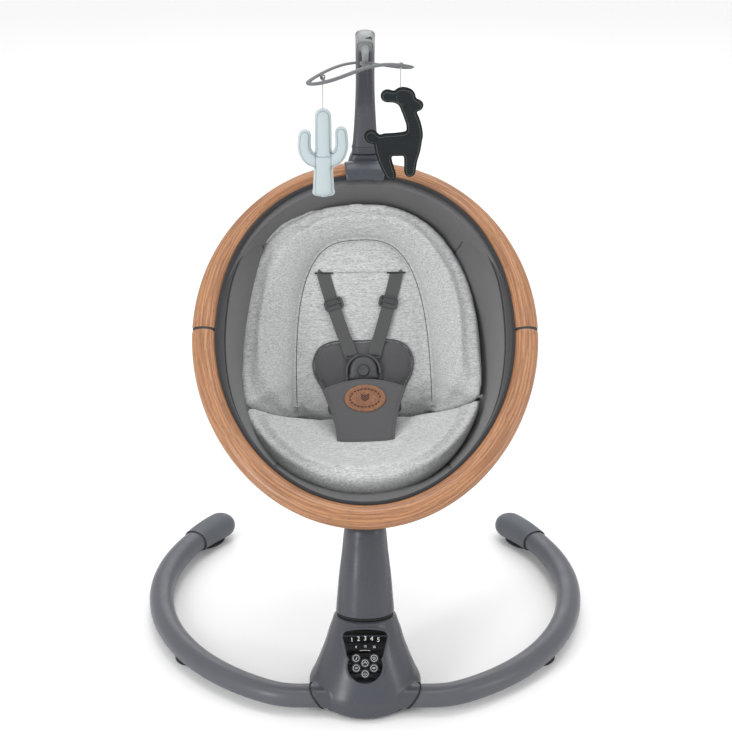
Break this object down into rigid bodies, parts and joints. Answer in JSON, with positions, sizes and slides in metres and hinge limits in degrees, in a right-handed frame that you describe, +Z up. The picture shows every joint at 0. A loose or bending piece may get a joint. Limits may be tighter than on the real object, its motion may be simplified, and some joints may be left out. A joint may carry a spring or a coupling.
{
  "type": "baby swing",
  "caption": "Motorised baby swing: padded harness seat in an egg-shaped wood ring on a leaning column, C-shaped floor base, toy bar with hanging toys.",
  "frame": {"origin": "on the floor, at the centre of the whole object's footprint box", "axes": "+Z up, the seat and the control panel face -Y, +X to the right seen from the front"},
  "size_m": [0.6408, 0.5329, 0.8716],
  "materials": {
    "slate_plastic": "satin moulded",
    "slate_tube": "satin powder coat",
    "black_plastic": "fine texture",
    "gloss_panel": "high gloss",
    "rubber": "matte",
    "circuit_board": "solder mask",
    "copper_winding": "enamelled wire",
    "nylon_bush": "moulded",
    "steel": "ground",
    "cast_alloy": "cast, blasted",
    "wood_rim": "satin lacquer",
    "shell_fabric": "tight weave",
    "melange_knit": "melange knit",
    "webbing": "flat woven webbing",
    "harness_fabric": "woven, padded",
    "buckle_plastic": "satin",
    "tan_leather": "embossed, stitched edge",
    "light_grey_plastic": "satin",
    "toy_string": "cord",
    "pale_felt": "soft cotton",
    "dark_felt": "felt"
  },
  "bodies": {
    "base": {"pod_housing": "slate_plastic", "pod_base_plate": "black_plastic", "pod_foot_ring": "rubber", "left_leg": "slate_tube", "right_leg": "slate_tube", "left_foot_cap": "slate_plastic", "right_foot_cap": "slate_plastic", "left_foot_sole": "rubber", "right_foot_sole": "rubber", "left_leg_pad": "rubber", "right_leg_pad": "rubber", "control_fascia": "gloss_panel", "control_board": "circuit_board", "speaker": "black_plastic", "dc_inlet": "black_plastic", "drive_coil": "copper_winding", "lower_bearing": "nylon_bush", "upper_bearing": "nylon_bush", "base_screw_left": "steel", "base_screw_right": "steel"},
    "column": {"column_cover": "slate_plastic", "column_shaft": "steel", "pivot_seal": "rubber", "drive_magnet": "steel", "hinge_arm": "cast_alloy"},
    "seat": {"hub_bracket": "cast_alloy", "hinge_pin": "steel", "seat_spine": "black_plastic", "rim_upper": "wood_rim", "rim_lower": "wood_rim", "left_rim_joint": "black_plastic", "right_rim_joint": "black_plastic", "seat_shell": "shell_fabric", "insert_bolster": "melange_knit", "insert_pad": "melange_knit", "left_shoulder_strap": "webbing", "right_shoulder_strap": "webbing", "waist_pad": "harness_fabric", "buckle_body": "buckle_plastic", "crotch_flap": "harness_fabric", "leather_badge": "tan_leather", "toy_bar_socket": "slate_plastic"},
    "key_song": {"key_song": "gloss_panel"},
    "key_timer": {"key_timer": "gloss_panel"},
    "key_speed": {"key_speed": "gloss_panel"},
    "key_volume": {"key_volume": "gloss_panel"},
    "key_link": {"key_link": "gloss_panel"},
    "key_power": {"key_power": "gloss_panel"},
    "recline_lever": {"recline_lever": "black_plastic"},
    "buckle_button": {"buckle_button": "buckle_plastic"},
    "left_strap_adjuster": {"left_strap_adjuster": "buckle_plastic"},
    "right_strap_adjuster": {"right_strap_adjuster": "buckle_plastic"},
    "toy_bar": {"toy_bar_arm": "slate_plastic", "toy_bar_tip": "light_grey_plastic"},
    "toy_hanger": {"toy_hanger": "light_grey_plastic"},
    "cactus_string": {"cactus_string": "toy_string"},
    "cactus_toy": {"cactus_toy": "pale_felt"},
    "llama_string": {"llama_string": "toy_string"},
    "llama_toy": {"llama_toy": "dark_felt"}
  },
  "joints": [
    {"name": "column_swing", "type": "hinge", "parent": "base", "child": "column", "pos_m": [0, -0.1649, 0.1135], "axis": [0, 0.225, 0.9744], "range_deg": [-15, 15]},
    {"name": "seat_recline", "type": "hinge", "parent": "column", "child": "seat", "pos_m": [0, -0.0779, 0.205], "axis": [-1, 0, 0], "range_deg": [0, 15]},
    {"name": "recline_release", "type": "hinge", "parent": "seat", "child": "recline_lever", "pos_m": [0, -0.0539, 0.2365], "axis": [-1, 0, 0], "range_deg": [0, 16], "stiffness_Nm_per_rad": 0.3, "springref_deg": -2.86},
    {"name": "key_song_press", "type": "slide", "parent": "base", "child": "key_song", "axis": [0, 0.8712, -0.4909], "range_m": [0, 0.0006], "stiffness_N_per_m": 200, "springref_m": -0.0002},
    {"name": "key_timer_press", "type": "slide", "parent": "base", "child": "key_timer", "axis": [0, 0.8712, -0.4909], "range_m": [0, 0.0006], "stiffness_N_per_m": 200, "springref_m": -0.0002},
    {"name": "key_speed_press", "type": "slide", "parent": "base", "child": "key_speed", "axis": [0, 0.8712, -0.4909], "range_m": [0, 0.0006], "stiffness_N_per_m": 200, "springref_m": -0.0002},
    {"name": "key_volume_press", "type": "slide", "parent": "base", "child": "key_volume", "axis": [0, 0.8712, -0.4909], "range_m": [0, 0.0006], "stiffness_N_per_m": 200, "springref_m": -0.0002},
    {"name": "key_link_press", "type": "slide", "parent": "base", "child": "key_link", "axis": [0, 0.8712, -0.4909], "range_m": [0, 0.0006], "stiffness_N_per_m": 200, "springref_m": -0.0002},
    {"name": "key_power_press", "type": "slide", "parent": "base", "child": "key_power", "axis": [0, 0.8712, -0.4909], "range_m": [0, 0.0006], "stiffness_N_per_m": 200, "springref_m": -0.0002},
    {"name": "buckle_press", "type": "slide", "parent": "seat", "child": "buckle_button", "axis": [0, 0.9018, -0.4321], "range_m": [0, 0.002], "stiffness_N_per_m": 300, "springref_m": -0.0005},
    {"name": "left_adjuster_slide", "type": "slide", "parent": "seat", "child": "left_strap_adjuster", "axis": [-0.2586, 0.4917, 0.8315], "range_m": [-0.018, 0.018]},
    {"name": "right_adjuster_slide", "type": "slide", "parent": "seat", "child": "right_strap_adjuster", "axis": [0.2586, 0.4917, 0.8315], "range_m": [-0.018, 0.018]},
    {"name": "toy_bar_lift", "type": "slide", "parent": "seat", "child": "toy_bar", "axis": [0, 0, 1], "range_m": [0, 0.03]},
    {"name": "toy_hanger_turn", "type": "hinge", "parent": "toy_bar", "child": "toy_hanger", "pos_m": [0, 0.0171, 0.843], "axis": [0, 0, 1], "continuous": true},
    {"name": "cactus_swing", "type": "hinge", "parent": "toy_hanger", "child": "cactus_string", "pos_m": [-0.05579, -0.00211, 0.8278], "axis": [1, 0, 0], "range_deg": [-25, 25]},
    {"name": "cactus_twist", "type": "hinge", "parent": "cactus_string", "child": "cactus_toy", "pos_m": [-0.05579, -0.00211, 0.7893], "axis": [0, 0, 1], "range_deg": [-60, 60]},
    {"name": "llama_swing", "type": "hinge", "parent": "toy_hanger", "child": "llama_string", "pos_m": [0.04728, 0.03338, 0.83343], "axis": [1, 0, 0], "range_deg": [-25, 25]},
    {"name": "llama_twist", "type": "hinge", "parent": "llama_string", "child": "llama_toy", "pos_m": [0.04728, 0.03338, 0.80743], "axis": [0, 0, 1], "range_deg": [-60, 60]}
  ]
}
